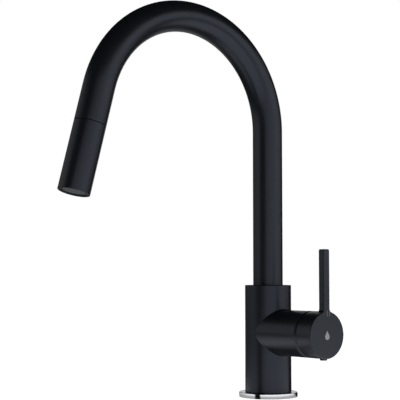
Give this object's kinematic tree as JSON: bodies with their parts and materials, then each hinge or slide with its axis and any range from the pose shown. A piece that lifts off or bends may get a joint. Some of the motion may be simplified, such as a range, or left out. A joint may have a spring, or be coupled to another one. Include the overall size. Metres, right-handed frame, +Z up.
{
  "type": "pull down kitchen faucet",
  "caption": "Matte black kitchen faucet with a tall round arch spout, a pull-down spray head flush with the spout, and a side lever with a round disc face.",
  "frame": {"origin": "on the worktop's surface, on the body's upright axis", "axes": "+Z up along the body and riser, the spout reaches out along -Y, the lever side points along +X"},
  "size_m": [0.1121, 0.2729, 0.4861],
  "materials": {
    "polished_ring": "polished chrome plate",
    "soft_rubber": "moulded black rubber",
    "turned_brass": "turned brass",
    "steel_hardware": "stainless steel",
    "satin_black": "satin black powder coat",
    "cartridge_plastic": "moulded acetal, grey",
    "ceramic_disc": "lapped alumina",
    "white_plastic": "moulded acetal, natural white",
    "black_plastic": "moulded acetal, black",
    "aerator_plastic": "moulded grey plastic",
    "hose_braid": "black nylon braid over a rubber core",
    "printed_mark": "grey laser marking"
  },
  "bodies": {
    "faucet_body": {"base_ring": "polished_ring", "base_gasket": "soft_rubber", "threaded_shank": "turned_brass", "clamp_washer_rubber": "soft_rubber", "clamp_washer_steel": "steel_hardware", "clamp_nut": "turned_brass", "valve_body": "satin_black", "swivel_lock_screw": "steel_hardware", "outlet_pipe": "turned_brass", "outlet_coupling": "turned_brass", "cartridge_base": "cartridge_plastic", "cartridge_seals": "soft_rubber", "fixed_ceramic_disc": "ceramic_disc", "cartridge_housing": "cartridge_plastic", "cartridge_nut": "turned_brass", "dome_cover": "satin_black"},
    "lever_turret": {"lever_turret": "cartridge_plastic", "pivot_pin": "steel_hardware"},
    "mixing_disc": {"moving_ceramic_disc": "ceramic_disc", "disc_carrier": "cartridge_plastic"},
    "lever": {"lever_spindle": "steel_hardware", "lever_handle": "satin_black", "spindle_sleeve": "white_plastic", "handle_grub_screw": "steel_hardware", "screw_plug": "satin_black", "drop_mark": "printed_mark", "index_ticks": "printed_mark"},
    "spout": {"spout_tube": "satin_black", "spout_foot": "turned_brass", "foot_glide_rings": "white_plastic", "spout_glide_washer": "white_plastic", "dock_bush": "black_plastic", "spray_hose": "hose_braid", "hose_tail_ferrule": "steel_hardware", "hose_tail_stem": "turned_brass"},
    "hose_end": {"hose_ferrule": "steel_hardware", "hose_stem": "turned_brass"},
    "spray_head": {"head_shell": "satin_black", "head_collar": "black_plastic", "hose_nut": "turned_brass", "inlet_washer": "soft_rubber", "head_core": "white_plastic", "core_o_ring": "soft_rubber", "check_valve": "white_plastic", "aerator_seal": "soft_rubber", "aerator_housing": "aerator_plastic", "aerator_insert": "aerator_plastic", "aerator_mesh": "aerator_plastic"}
  },
  "joints": [
    {"name": "spout_swivel", "type": "hinge", "parent": "faucet_body", "child": "spout", "pos_m": [0, 0, 0.107], "axis": [0, 0, 1], "range_deg": [-60, 60]},
    {"name": "spray_pull", "type": "slide", "parent": "spout", "child": "hose_end", "axis": [0, -0.2588, -0.9659], "range_m": [0, 0.4], "stiffness_N_per_m": 4, "springref_m": -1.2, "deforming": ["spray_hose"]},
    {"name": "spray_swivel", "type": "hinge", "parent": "hose_end", "child": "spray_head", "pos_m": [0, -0.21292, 0.25533], "axis": [0, -0.2588, -0.9659], "continuous": true},
    {"name": "lever_temp", "type": "hinge", "parent": "faucet_body", "child": "lever_turret", "pos_m": [0.049, 0, 0.0638], "axis": [1, 0, 0], "range_deg": [-45, 45]},
    {"name": "lever_lift", "type": "hinge", "parent": "lever_turret", "child": "lever", "pos_m": [0.049, 0, 0.0638], "axis": [0, 1, 0], "range_deg": [0, 20]},
    {"name": "disc_shift", "type": "slide", "parent": "lever_turret", "child": "mixing_disc", "axis": [0, 0, 1], "range_m": [0, 0.0026]}
  ],
  "couplings": [
    {"joint": "disc_shift", "follows": "lever_lift", "m_per_rad": 0.007}
  ]
}
